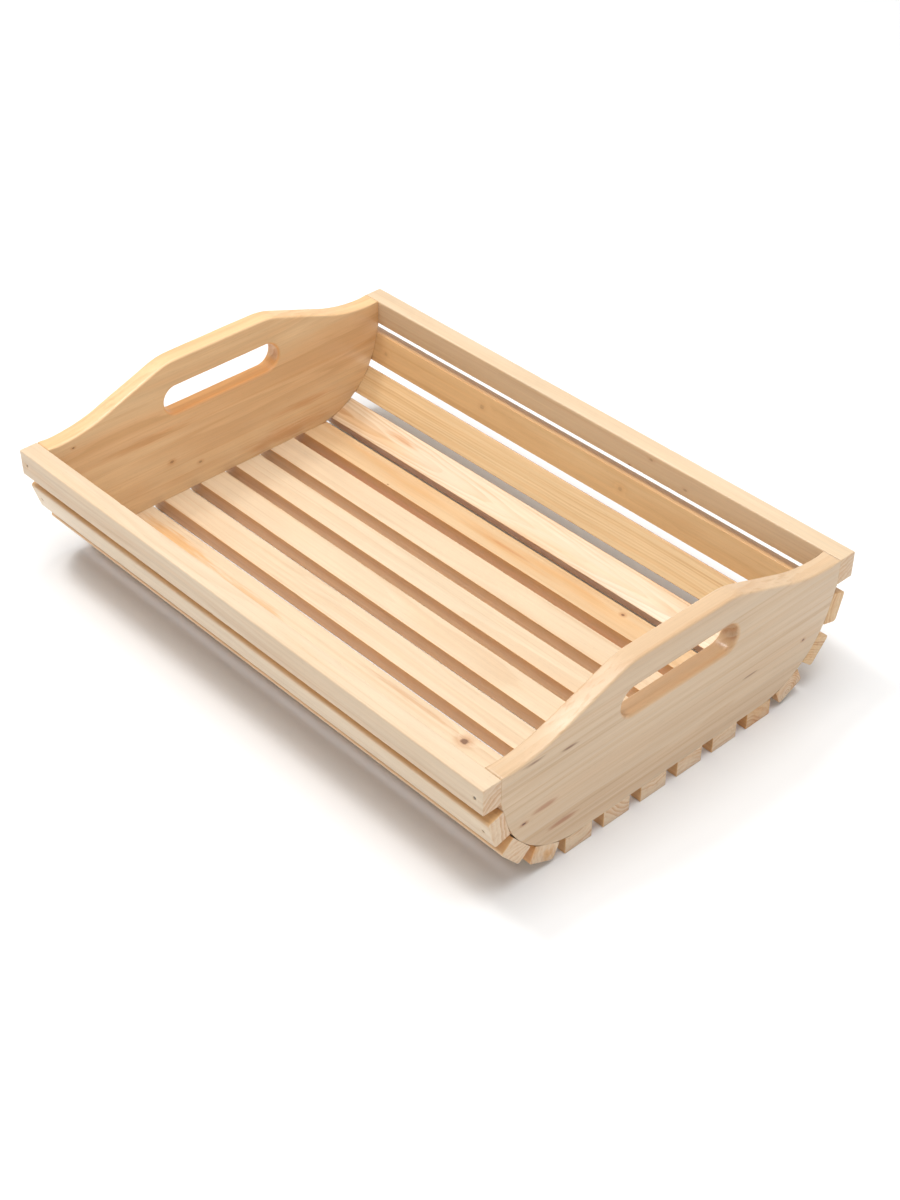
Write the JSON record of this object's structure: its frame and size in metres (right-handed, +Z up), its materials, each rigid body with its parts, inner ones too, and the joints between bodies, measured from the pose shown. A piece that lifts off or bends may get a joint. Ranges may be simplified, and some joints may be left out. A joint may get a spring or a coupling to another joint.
{
  "type": "slatted wooden crate tray",
  "caption": "Low pine fruit crate: arched end boards with hand slots, top rails, and slats bent round a curved bottom.",
  "frame": {"origin": "on the ground, under the middle of the crate", "axes": "+X along the slats, from one end board to the other; +Y across the crate towards the back rail; +Z up"},
  "size_m": [0.4, 0.2846, 0.107],
  "materials": {
    "pine": "satin clear lacquer on planed pine",
    "brad_steel": "dull steel wire brads"
  },
  "bodies": {
    "root": {"end_board_left": "pine", "end_board_right": "pine", "top_rail_front": "pine", "top_rail_back": "pine", "floor_slat_front_inner": "pine", "floor_slat_front_middle": "pine", "floor_slat_front_outer": "pine", "corner_slat_front": "pine", "side_slat_front_lower": "pine", "side_slat_front_upper": "pine", "floor_slat_back_inner": "pine", "floor_slat_back_middle": "pine", "floor_slat_back_outer": "pine", "corner_slat_back": "pine", "side_slat_back_lower": "pine", "side_slat_back_upper": "pine", "slat_brads": "brad_steel", "rail_brads": "brad_steel"}
  },
  "joints": []
}
